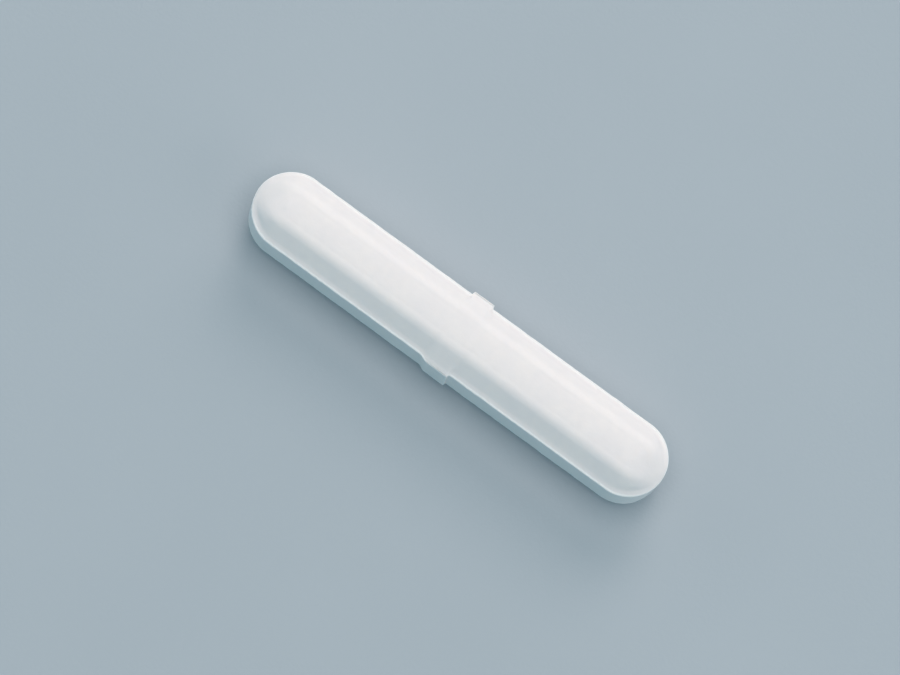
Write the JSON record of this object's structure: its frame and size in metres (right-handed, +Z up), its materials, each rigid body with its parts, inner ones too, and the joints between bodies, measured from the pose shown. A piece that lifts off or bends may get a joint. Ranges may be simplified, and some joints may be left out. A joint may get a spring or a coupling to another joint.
{
  "type": "magnetic stir bar",
  "caption": "Rod magnet sealed in a smooth white moulded jacket with round ends and a raised pivot ring, laid in a vessel to stir a liquid over a magnetic stirrer.",
  "frame": {"origin": "middle of the pivot ring's flat underside, which the bar rests on", "axes": "+X along the bar, +Z up from the surface that the bar lies on"},
  "size_m": [0.05, 0.009, 0.0084],
  "materials": {
    "fluoropolymer": "white moulded fluoropolymer, smooth and waxy, slightly translucent",
    "magnet_alloy": "cast aluminium nickel cobalt alloy, ground on its sides"
  },
  "bodies": {
    "root": {"jacket": "fluoropolymer", "magnet": "magnet_alloy"}
  },
  "joints": []
}
